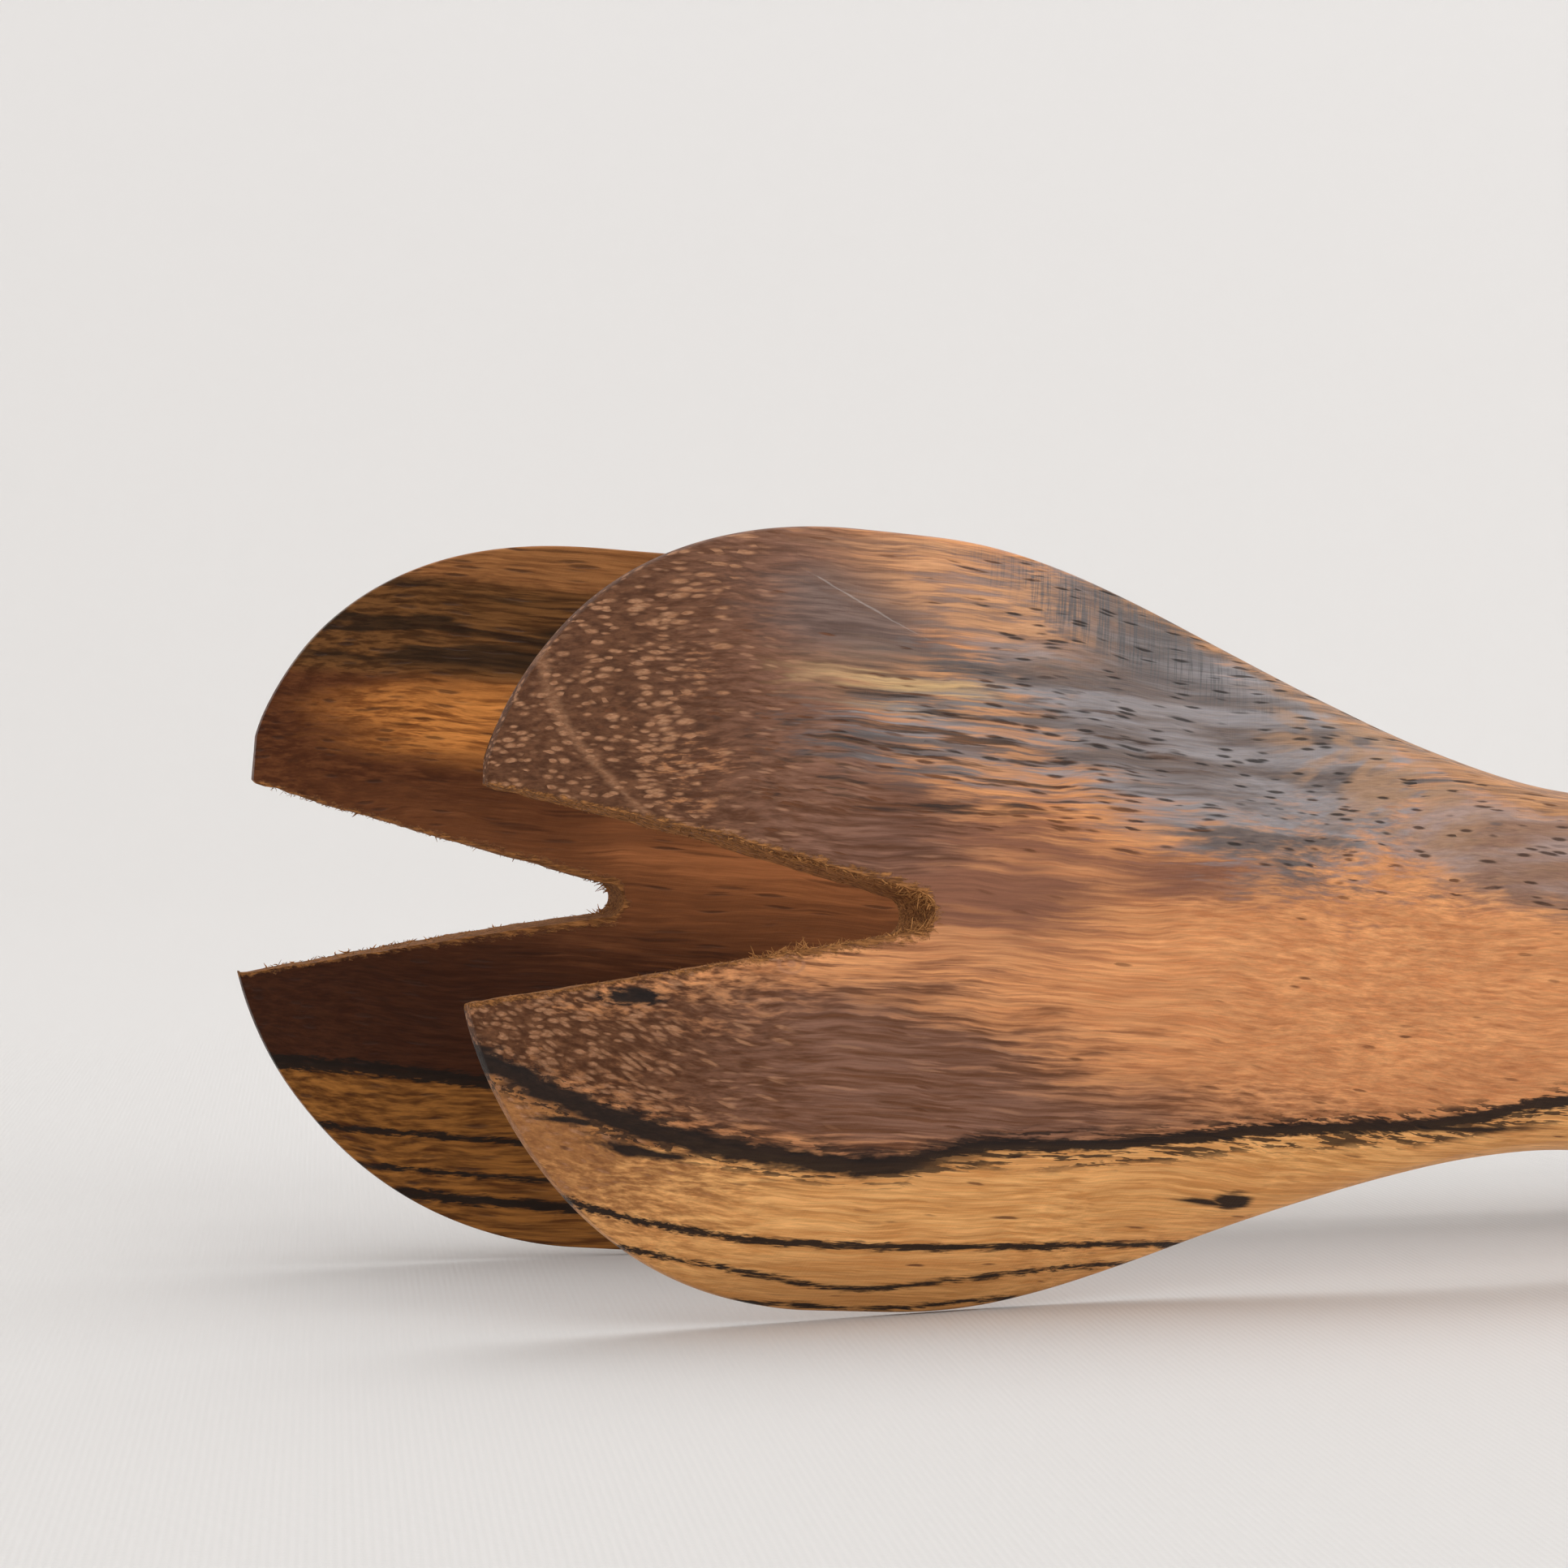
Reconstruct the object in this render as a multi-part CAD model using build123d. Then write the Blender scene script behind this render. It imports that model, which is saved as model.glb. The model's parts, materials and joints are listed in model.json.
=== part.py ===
"""Spring loaded kitchen tongs carved from hardwood.

Two mirrored arms, each one piece from scooped blade to handle, turn on a cross pin near the butt.
A fork block glued to the front arm straddles a tongue block glued to the rear arm. A coil spring
between the handles pushes the blades apart until the two tails meet behind the pin.

Each arm and what is fixed in it is drawn in its own closed pose: the hinge axis is Z through the
origin, the tips point to -X, and +Y is outwards, away from the other arm. The rims of the closed
blades lie close to the plane y = 0. The arms are then opened to their resting angle, and the tool
is leaned so that it stands on the lower edges of its blades and its butt, as when it is put down.

Units are millimetres.
"""

from build123d import *
import math
import os

# ---- Outline of an arm, seen from its side ----
tip_reach = 275.0             # hinge axis to the tips
tail_length = 22.0            # hinge axis to the end of the butt
blade_half_width = 31.6
blade_nose_length = 33.5      # nose of the full round outline to the widest place
blade_nose_cut = 1.5          # what the straight tips leave off that nose
blade_nose_power = 2.2        # 2 would be an ellipse, more is squarer
blade_flat_length = 7.0       # stretch at the full width
blade_shoulder_length = 64.0  # full width down to the neck
neck_half_width = 15.1
butt_half_width = 12.7
butt_straight_length = 20.0   # parallel stretch of the handle ahead of the hinge axis
butt_corner_radius = 5.0      # rounding of the butt's corners, seen from the side
butt_back_radius = 6.5        # rounding of the butt's back, seen from above
butt_round_rise = 0.2         # these roundings start this far outside, and so meet the wood at a slant

# ---- Thickness of an arm, outwards from the plane where the rims meet ----
rim_clearance = 0.15          # each rim stands this far from that plane when closed
rim_thickness = 1.2
bowl_depth = 4.6              # hollow of the scoop below its rim
blade_crown = 10.2            # back of the blade
blade_back_power = 2.0
handle_inner = 6.0            # inner face of the handle
handle_thickness = 9.0
handle_side_height = 3.4      # flat side of the handle, below its rounded back
handle_back_power = 3.2

# ---- Sawn notch in the blade ----
notch_depth = 36.0
notch_mouth_half_width = 8.4
notch_root_radius = 1.6
front_notch_tilt = 6.5        # degrees that each cut climbs on its way out through its blade
rear_notch_tilt = 2.0

# ---- Hinge blocks ----
open_angle = 6.1              # degrees that each arm stands out from the middle at rest
knuckle_radius = 5.5
knuckle_clearance = 0.4       # round a knuckle, in the other block
tongue_width = 9.5
washer_space = 0.6            # between the tongue and each ear of the fork
block_front_length = 12.0     # reach of a block ahead of the hinge axis
block_front_relief = 1.5      # its front part stays this far from the middle plane
block_front_slope = 5.0       # length of the slope from there up to the arm
block_seat_depth = 1.0        # depth that a block is let into its arm
stop_clearance = 0.02         # each tail's distance from the middle plane at rest

# ---- Pin, bush, washers, plugs and dowels ----
pin_radius = 2.0
bush_radius = 3.0
bush_running_clearance = 0.03
washer_radius = 4.8
washer_bore_clearance = 0.05
washer_end_clearance = 0.05
plug_radius = 3.0
plug_length = 2.5
dowel_radius = 2.0
dowel_length = 9.0
dowel_length_in_block = 4.0
dowel_behind_hinge = 13.0
dowel_spread = 6.4            # from the arm's middle line

# ---- Spring and its cups ----
spring_reach = 34.0           # hinge axis to the spring's axis
wire_diameter = 0.9
spring_mean_radius = 3.9
spring_active_turns = 7.5
spring_end_clearance = 0.05
cup_wall = 0.5
cup_side_clearance = 0.15     # between the spring and the cup's wall
cup_depth = 4.0               # of the bore in the handle
cup_flange_width = 1.2
cup_flange_thickness = 0.5

# ---- What follows from the sizes above ----
nose_x = -(tip_reach + blade_nose_cut)
widest_x = nose_x + blade_nose_length
shoulder_x = widest_x + blade_flat_length
neck_x = shoulder_x + blade_shoulder_length
butt_straight_x = -butt_straight_length
handle_outer = handle_inner + handle_thickness
block_seat = handle_inner + block_seat_depth
tongue_half = tongue_width / 2
fork_half_gap = tongue_half + washer_space
pin_half_length = butt_half_width - plug_length
cup_bore = spring_mean_radius + wire_diameter / 2 + cup_side_clearance
cup_radius = cup_bore + cup_wall
spring_seat = handle_inner + cup_depth - cup_wall - spring_end_clearance
far = 2 * (tip_reach + tail_length)   # longer than the tool, for cuts that run right through it


def ease(t):
    """0 at t = 0 and 1 at t = 1, level at both ends."""
    t = min(1.0, max(0.0, t))
    return (1 - math.cos(math.pi * t)) / 2


def mix(a, b, share):
    return a + (b - a) * share


def half_width(x):
    """Half the height of the arm's outline at x."""
    if x < widest_x:
        xi = (widest_x - x) / blade_nose_length
        return blade_half_width * (1 - xi**blade_nose_power) ** (1 / blade_nose_power)
    if x < neck_x:
        return mix(blade_half_width, neck_half_width, ease((x - shoulder_x) / blade_shoulder_length))
    return mix(neck_half_width, butt_half_width, ease((x - neck_x) / (butt_straight_x - neck_x)))


def nose_share(x):
    """Share of its full depth that the scoop has at x: it runs out towards the nose."""
    xi = max(0.0, (widest_x - x) / blade_nose_length)
    return 1 - xi**blade_nose_power


def handle_share(x):
    """0 in the blade and 1 in the handle, changing over the rear of the shoulder."""
    start = shoulder_x + 0.25 * blade_shoulder_length
    return ease((x - start) / (neck_x - start))


def arm_section(x):
    """Closed outline of the arm in the plane at x: back, lower side, inner face, upper side."""
    w = half_width(x)
    handle = handle_share(x)
    inner = mix(rim_clearance, handle_inner, handle)
    hollow = mix(bowl_depth * nose_share(x), 0.0, handle)
    edge = inner + mix(rim_thickness, handle_side_height, handle)
    blade_back = (blade_crown - rim_clearance - rim_thickness) * nose_share(x)
    back_height = mix(blade_back, handle_thickness - handle_side_height, handle)
    power = mix(blade_back_power, handle_back_power, handle)
    root = mix(1.0, 0.5, handle)
    heights = [math.sin(math.pi / 2 * i / 6) for i in range(-6, 7)]
    back = [(x, edge + back_height * (1 - abs(u) ** power) ** root, w * u) for u in heights]
    face = [(x, inner + hollow * (1 - u * u), w * u) for u in reversed(heights)]
    return Wire([Spline(*back), Line(back[-1], face[0]), Spline(*face), Line(face[-1], back[0])])


def blade():
    """Lofted scoop, from the tips to the neck: its sections stand closest where it turns fastest."""
    tip_turn = math.acos((widest_x + tip_reach) / blade_nose_length)
    turns = [mix(tip_turn, math.pi / 2, i / 9) for i in range(9)]
    nose = [widest_x - blade_nose_length * math.cos(turn) for turn in turns]
    shoulder = [mix(widest_x, neck_x, i / 12) for i in range(13)]
    return Solid.make_loft([arm_section(x) for x in nose + shoulder])


def handle():
    """Lofted handle behind the neck, and its parallel stretch to the rounded butt."""
    taper = Solid.make_loft([arm_section(mix(neck_x, butt_straight_x, i / 6)) for i in range(7)])
    end_face = Face(arm_section(butt_straight_x))
    butt = extrude(end_face, butt_straight_length + tail_length, (1, 0, 0))
    return taper + (butt & butt_envelope())


def butt_envelope():
    """Rounds the corners and the back of whatever reaches the butt."""
    height = 2 * (butt_half_width + butt_round_rise)
    side = Pos(tail_length - far / 2, 0) * Rectangle(far, height)
    side = fillet(side.vertices().sort_by(Axis.X)[-2:], butt_corner_radius)
    depth = 2 * (handle_outer + butt_round_rise)
    plan = Pos(tail_length - far / 2, 0) * Rectangle(far, depth)
    plan = fillet(plan.vertices().sort_by(Axis.X)[-2:], butt_back_radius)
    return extrude(Plane.XZ * side, depth, both=True) & extrude(plan, height, both=True)


def notch(tilt):
    """The sawn V, from beyond the tips to its rounded root, climbing outwards by its tilt."""
    root_x = -tip_reach + notch_depth - notch_root_radius
    mouth_x = -tip_reach - notch_depth
    spread = (notch_mouth_half_width - notch_root_radius) / (root_x + tip_reach)
    mouth = notch_root_radius + spread * (root_x - mouth_x)
    r = notch_root_radius
    wedge = Polygon((mouth_x, -mouth), (mouth_x, mouth), (root_x, r), (root_x, -r), align=None)
    cut = Plane.XZ * (wedge + Pos(root_x, 0) * Circle(r))
    return Rot(X=tilt) * extrude(cut, 4 * blade_crown, both=True)


def crosswise(x, y, z, radius, length):
    """A round bar that runs outwards from (x, y, z), square to the handle's inner face."""
    return extrude(Plane((x, y, z), z_dir=(0, 1, 0)) * Circle(radius), length)


def along_hinge(radius, low, high):
    """A round bar on the hinge axis between two heights."""
    return Pos(0, 0, low) * extrude(Circle(radius), high - low)


def dowel(side):
    """A glued dowel that ties a hinge block to its arm. side is 1 above and -1 below."""
    start = block_seat - dowel_length_in_block
    return crosswise(dowel_behind_hinge, start, side * dowel_spread, dowel_radius, dowel_length)


def arm_blank():
    """Blade, neck and handle in one piece, with the seats for what the handle holds."""
    block_length = block_front_length + tail_length
    seat = Pos(tail_length - block_length / 2, 0, 0) * Box(block_length, 2 * block_seat, 4 * butt_half_width)
    cup_hole = crosswise(-spring_reach, handle_inner, 0, cup_radius, cup_depth)
    return blade() + handle() - seat - cup_hole - dowel(1) - dowel(-1)


def block_body():
    """What the two hinge blocks share: the glued seat, the sloped front and the tail stop."""
    slant = math.tan(math.radians(open_angle))
    lift = stop_clearance / math.cos(math.radians(open_angle))
    profile = Polygon(
        (-block_front_length, block_seat),
        (-block_front_length, handle_inner),
        (block_front_slope - block_front_length, block_front_relief),
        (0, block_front_relief),
        (0, lift),
        (tail_length, tail_length * slant + lift),
        (tail_length, block_seat),
        align=None,
    )
    body = extrude(profile, butt_half_width, both=True) & butt_envelope()
    return body - dowel(1) - dowel(-1)


def knuckle(low, high):
    """A rounded knuckle on the hinge axis, joined to its block."""
    root = Pos(0, block_seat / 2, (low + high) / 2) * Box(2 * knuckle_radius, block_seat, high - low)
    return root + along_hinge(knuckle_radius, low, high)


def fork_block():
    """Hinge block of the front arm: two ears with a gap for the tongue between them."""
    gap = along_hinge(knuckle_radius + knuckle_clearance, -fork_half_gap, fork_half_gap)
    ears = knuckle(fork_half_gap, butt_half_width) + knuckle(-butt_half_width, -fork_half_gap)
    pin_hole = along_hinge(pin_radius, -pin_half_length, pin_half_length)
    plug_holes = along_hinge(plug_radius, pin_half_length, butt_half_width)
    plug_holes += along_hinge(plug_radius, -butt_half_width, -pin_half_length)
    return block_body() - gap + ears - pin_hole - plug_holes


def tongue_block():
    """Hinge block of the rear arm: one tongue, with room above and below it for the ears."""
    reach = knuckle_radius + knuckle_clearance
    rooms = along_hinge(reach, tongue_half, butt_half_width)
    rooms += along_hinge(reach, -butt_half_width, -tongue_half)
    tongue = knuckle(-tongue_half, tongue_half)
    return block_body() - rooms + tongue - along_hinge(bush_radius, -tongue_half, tongue_half)


def hinge_pin():
    """Steel pin, pressed into both ears of the fork."""
    return along_hinge(pin_radius, -pin_half_length, pin_half_length)


def hinge_bush():
    """Bush in the tongue, in which the pin turns."""
    outside = along_hinge(bush_radius, -tongue_half, tongue_half)
    return outside - along_hinge(pin_radius + bush_running_clearance, -tongue_half, tongue_half)


def washer(side):
    """Washer between the tongue and an ear. side is 1 above and -1 below."""
    low = tongue_half + washer_end_clearance
    high = fork_half_gap - washer_end_clearance
    bore = along_hinge(pin_radius + washer_bore_clearance, low, high)
    ring = along_hinge(washer_radius, low, high) - bore
    return ring if side > 0 else mirror(ring, about=Plane.XY)


def pin_plug(side):
    """Wooden plug that hides an end of the pin. side is 1 above and -1 below."""
    plug = along_hinge(plug_radius, pin_half_length, butt_half_width)
    return plug if side > 0 else mirror(plug, about=Plane.XY)


def spring_cup():
    """Flanged metal cup in the handle, which holds an end of the spring."""
    x = -spring_reach
    outside = crosswise(x, handle_inner, 0, cup_radius, cup_depth)
    flange_start = handle_inner - cup_flange_thickness
    flange = crosswise(x, flange_start, 0, cup_radius + cup_flange_width, cup_flange_thickness)
    hollow_depth = cup_flange_thickness + cup_depth - cup_wall
    return outside + flange - crosswise(x, flange_start, 0, cup_bore, hollow_depth)


def coil_spring():
    """Compression spring between the cups at rest. The toed-out handles bend its axis a little."""
    turn_angle = math.radians(open_angle)
    bend_radius = spring_reach + spring_seat / math.tan(turn_angle)
    centre = (bend_radius - spring_reach) * math.cos(turn_angle) + spring_seat * math.sin(turn_angle)
    length = 2 * turn_angle * bend_radius - wire_diameter
    turns = spring_active_turns + 2
    lead = (length - 2 * wire_diameter) / spring_active_turns

    def coil_point(turn):
        """Middle of the wire after so many turns: the first and last turns are closed."""
        rise = wire_diameter * (min(turn, 1) + max(turn - turns + 1, 0))
        rise += lead * min(max(turn - 1, 0), spring_active_turns)
        bend = (rise - length / 2) / bend_radius
        out = bend_radius - spring_mean_radius * math.cos(2 * math.pi * turn)
        height = spring_mean_radius * math.sin(2 * math.pi * turn)
        return (centre - out * math.cos(bend), out * math.sin(bend), height)

    steps = round(10 * turns)
    path = Spline(*[coil_point(turns * i / steps) for i in range(steps + 1)])
    wire_end = Plane(path @ 0, z_dir=path % 0) * Circle(wire_diameter / 2)
    return sweep(wire_end, path=path, is_frenet=True)


def rear_place(shape):
    """From the arm's closed pose to the rear arm at rest."""
    return Rot(Z=-open_angle) * shape


def front_place(shape):
    """From the arm's closed pose to the front arm at rest."""
    return Rot(Z=open_angle) * mirror(shape, about=Plane.XZ)


def lean_angle():
    """Degrees that the tool leans when the blades' and the butt's lower edges meet the table."""
    heel_x = tail_length - butt_corner_radius
    rises = []
    for i in range(200):
        x = mix(widest_x, neck_x, i / 200)
        run = (heel_x - x) * math.cos(math.radians(open_angle))
        rises.append(math.atan2(half_width(x) - butt_half_width, run))
    return math.degrees(max(rises))


def tongs():
    """Every piece at rest, still upright on the hinge axis."""
    blank = arm_blank()
    cup = spring_cup()
    return {
        "front_arm": front_place(blank - notch(front_notch_tilt)),
        "rear_arm": rear_place(blank - notch(rear_notch_tilt)),
        "front_hinge_block": front_place(fork_block()),
        "rear_hinge_block": rear_place(tongue_block()),
        "front_dowel_upper": front_place(dowel(1)),
        "front_dowel_lower": front_place(dowel(-1)),
        "rear_dowel_upper": rear_place(dowel(1)),
        "rear_dowel_lower": rear_place(dowel(-1)),
        "hinge_pin": hinge_pin(),
        "hinge_bush": hinge_bush(),
        "upper_washer": washer(1),
        "lower_washer": washer(-1),
        "upper_pin_plug": pin_plug(1),
        "lower_pin_plug": pin_plug(-1),
        "coil_spring": coil_spring(),
        "front_spring_cup": front_place(cup),
        "rear_spring_cup": rear_place(cup),
    }


def main():
    """Lean the tool, put the middle of its underside at the origin, and write every piece.

    The plane midway between the arms stays at y = 0.
    """
    lean = Rot(Y=lean_angle())
    leaned = {name: lean * shape for name, shape in tongs().items()}
    box = Compound(list(leaned.values())).bounding_box()
    shift = Pos(-box.center().X, 0, -box.min.Z)
    os.makedirs("parts", exist_ok=True)
    for name, shape in leaned.items():
        export_step(shift * shape, f"parts/{name}.step")
    show_places(shift * lean)


def show_places(stand):
    """Print where the hinge axis and the flat cheek ahead of the front arm's fork stand."""
    cheek_x = (block_front_slope - block_front_length - knuckle_radius) / 2
    cheek_y = (block_front_relief + block_seat) / 2
    cheek = Rot(Z=open_angle) * Pos(cheek_x, -cheek_y, -butt_half_width)
    for name, place in (("hinge", stand), ("cheek", stand * cheek)):
        print(name, [round(v, 4) for v in place.position])
    axis = (stand * Pos(0, 0, 1)).position - stand.position
    print("hinge axis direction", [round(v, 6) for v in axis])


if __name__ == "__main__":
    main()
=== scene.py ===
import json
import math
import random
from collections import namedtuple

import bmesh
import bpy
from mathutils import Matrix, Vector, noise


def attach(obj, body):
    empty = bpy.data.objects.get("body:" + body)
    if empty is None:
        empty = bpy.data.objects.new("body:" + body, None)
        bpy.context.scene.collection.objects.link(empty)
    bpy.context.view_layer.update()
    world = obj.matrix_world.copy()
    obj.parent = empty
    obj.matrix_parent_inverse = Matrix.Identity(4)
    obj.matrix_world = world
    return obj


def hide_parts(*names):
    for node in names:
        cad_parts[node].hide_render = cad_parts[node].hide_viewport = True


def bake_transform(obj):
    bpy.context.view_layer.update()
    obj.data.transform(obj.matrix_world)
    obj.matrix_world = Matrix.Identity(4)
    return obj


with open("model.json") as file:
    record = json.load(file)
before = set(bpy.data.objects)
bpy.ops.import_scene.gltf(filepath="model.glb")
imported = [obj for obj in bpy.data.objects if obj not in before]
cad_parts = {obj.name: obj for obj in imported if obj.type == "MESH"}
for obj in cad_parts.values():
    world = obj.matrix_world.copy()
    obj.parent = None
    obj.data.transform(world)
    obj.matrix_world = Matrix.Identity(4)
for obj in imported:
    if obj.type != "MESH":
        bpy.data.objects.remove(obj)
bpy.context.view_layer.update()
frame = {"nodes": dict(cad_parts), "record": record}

# ---- The hinge, which every wooden part is placed from ----
hinge = frame["record"]["behaviour"]["joints"][0]
HINGE = Vector(hinge["pos_m"])
LEAN = math.atan2(hinge["axis"][0], hinge["axis"][2])
OPEN = math.radians(6.1)          # each arm's angle from the middle at rest
MM = 0.001

# ---- An arm in its own closed pose, in millimetres: hinge axis along Z at the origin, tips at -X,
# ---- +Y outwards. These repeat the sizes of the carved arm. ----
TIP_X = -275.0
BUTT_X = 22.0
NOSE_X = -276.5                   # end of the full round outline, ahead of the straight tips
WIDEST_X = -243.0
SHOULDER_X = -236.0
NECK_X = -172.0
STRAIGHT_X = -20.0                # the handle is parallel from here to the butt
BLADE_HALF = 31.6
NECK_HALF = 15.1
BUTT_HALF = 12.7
NOSE_POWER = 2.2                  # squareness of the nose's outline
RIM = 0.15                        # closed rims stand this far from the middle plane
RIM_THICK = 1.2
BOWL = 4.6
CROWN = 10.2
HANDLE_IN = 6.0
HANDLE_THICK = 9.0
HANDLE_SIDE = 3.4
BUTT_CORNER = 5.0
BUTT_BACK = 6.5
SEAT_X = -12.0                    # the hinge block is let in from here to the butt
SEAT_Y = 7.0
NOTCH_END = -239.0
NOTCH_MOUTH = 8.4
NOTCH_ROOT = 1.6
SPRING_X = -34.0
CUP_BORE = 5.0
CUP_DEPTH = 4.0
DOWEL_X = 13.0
DOWEL_Z = 6.4
DOWEL_R = 2.0
DOWEL_END = 12.0
CUP_WALL = 0.5
SPRING_R = 3.9                    # from the spring's axis to the middle of the wire
SPRING_TURNS = 7.5                # between the closed end turns
SPRING_GAP = 0.05                 # at each end, inside its cup
WIRE = 0.9

# What the two arms don't share. side is -1 in front and 1 at the rear, tilt is how far the sawn V
# climbs on its way out through the blade, drop is how far it sits off the middle, and upper and
# lower are the squareness of the nose above and below.
Arm = namedtuple("Arm", "side tilt drop upper lower")
FRONT = Arm(side=-1, tilt=math.radians(6.5), drop=0.0, upper=2.2, lower=1.95)
REAR = Arm(side=1, tilt=math.radians(2.0), drop=-0.35, upper=2.45, lower=1.95)


def new_piece(name, mesh):
    """Makes an object of a bmesh and links it to the scene."""
    data = bpy.data.meshes.new(name)
    mesh.to_mesh(data)
    mesh.free()
    piece = bpy.data.objects.new(name, data)
    bpy.context.scene.collection.objects.link(piece)
    return piece


def keep(data, name, kind, values):
    """Stores a value, or a vector of three, for each point of a mesh."""
    points = data.attributes.new(name, kind, "POINT").data
    for point, value in zip(points, values):
        setattr(point, "value" if kind == "FLOAT" else "vector", value)


def mix(a, b, share):
    return a + (b - a) * share


def clamp(t):
    return min(1.0, max(0.0, t))


def ease(t):
    return (1 - math.cos(math.pi * clamp(t))) / 2


def arm_place(side):
    """From an arm's closed pose in millimetres to the frame in metres. side is -1 front, 1 rear."""
    turn = Matrix.Rotation(LEAN, 4, "Y") @ Matrix.Rotation(-side * OPEN, 4, "Z")
    return Matrix.Translation(HINGE) @ turn @ Matrix.Diagonal((MM, side * MM, MM, 1))


# ---- Shader nodes: a short way to write them, and the effects that the finishes share ----

def arithmetic(operation, turned=False):
    """One of Value's operators. turned puts the other number first, as in 1 - value."""
    def operator(self, *other):
        return self.n.maths(operation, *((*other, self) if turned else (self, *other)))
    return operator


class Value:
    """What a shader node gives. Arithmetic on it adds Math nodes to the same tree."""

    def __init__(self, n, socket):
        self.n, self.socket = n, socket

    __add__, __radd__ = arithmetic("ADD"), arithmetic("ADD", turned=True)
    __sub__, __rsub__ = arithmetic("SUBTRACT"), arithmetic("SUBTRACT", turned=True)
    __mul__, __rmul__ = arithmetic("MULTIPLY"), arithmetic("MULTIPLY", turned=True)
    __truediv__, __rtruediv__ = arithmetic("DIVIDE"), arithmetic("DIVIDE", turned=True)
    __pow__, __abs__ = arithmetic("POWER"), arithmetic("ABSOLUTE")


class Nodes:
    """Adds shader nodes to one tree. Wherever a value goes in, it may be a number or a Value."""

    def __init__(self, tree):
        self.tree = tree

    def node(self, kind, **settings):
        made = self.tree.nodes.new(kind)
        for key, value in settings.items():
            setattr(made, key, value)
        return made

    def feed(self, socket, value):
        if isinstance(value, Value):
            self.tree.links.new(value.socket, socket)
        elif value is not None:
            socket.default_value = value

    def result(self, made, values=(), output=0):
        """Feeds the first inputs of a node and returns one of its outputs."""
        for socket, value in zip(made.inputs, values):
            self.feed(socket, value)
        return Value(self, made.outputs[output])

    def attribute(self, name, output):
        return self.result(self.node("ShaderNodeAttribute", attribute_name=name), output=output)

    def maths(self, operation, *values):
        return self.result(self.node("ShaderNodeMath", operation=operation), values)

    def either(self, *masks):
        """Where any of the masks is."""
        result = masks[0]
        for mask in masks[1:]:
            result = self.maths("MAXIMUM", result, mask)
        return result

    def vectors(self, operation, a, b):
        return self.result(self.node("ShaderNodeVectorMath", operation=operation), (a, b))

    def split(self, vector):
        made = self.node("ShaderNodeSeparateXYZ")
        return [self.result(made, (vector,), axis) for axis in "XYZ"]

    def join(self, x, y, z):
        return self.result(self.node("ShaderNodeCombineXYZ"), (x, y, z))

    def step(self, value, low, high, start=0.0, end=1.0):
        """Goes smoothly from start to end as the value goes from low to high."""
        made = self.node("ShaderNodeMapRange", interpolation_type="SMOOTHSTEP")
        return self.result(made, (value, low, high, start, end))

    def blend(self, share, under, over, kind="MIX"):
        made = self.node("ShaderNodeMix", data_type="RGBA", blend_type=kind)
        for socket, value in ((0, share), (6, under), (7, over)):
            self.feed(made.inputs[socket], (*value, 1.0) if isinstance(value, tuple) else value)
        return self.result(made, output=2)

    def noise(self, place, scale=1.0, detail=2.0, rough=0.5, bend=0.0):
        made = self.node("ShaderNodeTexNoise")
        labels = "Vector", "Scale", "Detail", "Roughness", "Distortion"
        for label, value in zip(labels, (place, scale, detail, rough, bend)):
            self.feed(made.inputs[label], value)
        return self.result(made)

    def use(self, group, **values):
        """Places a node group; a socket called Half Length is given as half_length."""
        made = self.node("ShaderNodeGroup", node_tree=group)
        for label, value in values.items():
            self.feed(made.inputs[label.replace("_", " ").title()], value)
        return self.result(made)


def effect(name, inputs, output):
    """A node group with named inputs and one named output. Returns it, its nodes and its inputs."""
    group = bpy.data.node_groups.new(name, "ShaderNodeTree")
    for label, value in inputs.items():
        kind = "NodeSocketVector" if value is None else "NodeSocketFloat"
        socket = group.interface.new_socket(label, in_out="INPUT", socket_type=kind)
        if value is not None:
            socket.default_value = value
    group.interface.new_socket(output, in_out="OUTPUT", socket_type="NodeSocketFloat")
    nodes = Nodes(group)
    start = nodes.node("NodeGroupInput")
    given = {label: nodes.result(start, output=label) for label in inputs}
    return group, nodes, given, nodes.node("NodeGroupOutput").inputs[0]


def stretched(n, given):
    """A place measured in lengths along the grain and widths across it, shifted by its seed."""
    shares = n.join(1.0 / given["Length"], 1.0 / given["Width"], 1.0 / given["Width"])
    seeds = n.join(given["Seed"], given["Seed"], given["Seed"])
    return n.vectors("ADD", n.vectors("MULTIPLY", given["Place"], shares), seeds)


def grain_streaks():
    """Long uneven streaks along the grain, from 0 to 1."""
    group, n, given, out = effect(
        "grain streaks", {"Place": None, "Length": 20.0, "Width": 1.0, "Seed": 0.0}, "Streak"
    )
    wave = n.noise(stretched(n, given), 1.0, 3.0, 0.6, 0.1)
    n.feed(out, n.step(wave, 0.3, 0.7))
    return group


def pore_dashes():
    """Short open pores, drawn out along the grain. Amount is the share of them that shows."""
    group, n, given, out = effect(
        "pore dashes",
        {"Place": None, "Length": 3.0, "Width": 0.6, "Size": 0.35, "Amount": 0.5, "Seed": 0.0},
        "Pores",
    )
    cells = n.node("ShaderNodeTexVoronoi", feature="F1")
    n.feed(cells.inputs["Vector"], stretched(n, given))
    n.feed(cells.inputs["Scale"], 1.0)
    n.feed(cells.inputs["Randomness"], 1.0)
    dash = n.step(n.result(cells, output="Distance"), given["Size"], given["Size"] * 0.45)
    pick = n.split(n.result(cells, output="Color"))[0]
    shown = n.step(given["Amount"] - pick, -0.05, 0.05)
    n.feed(out, dash * shown)
    return group


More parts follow.
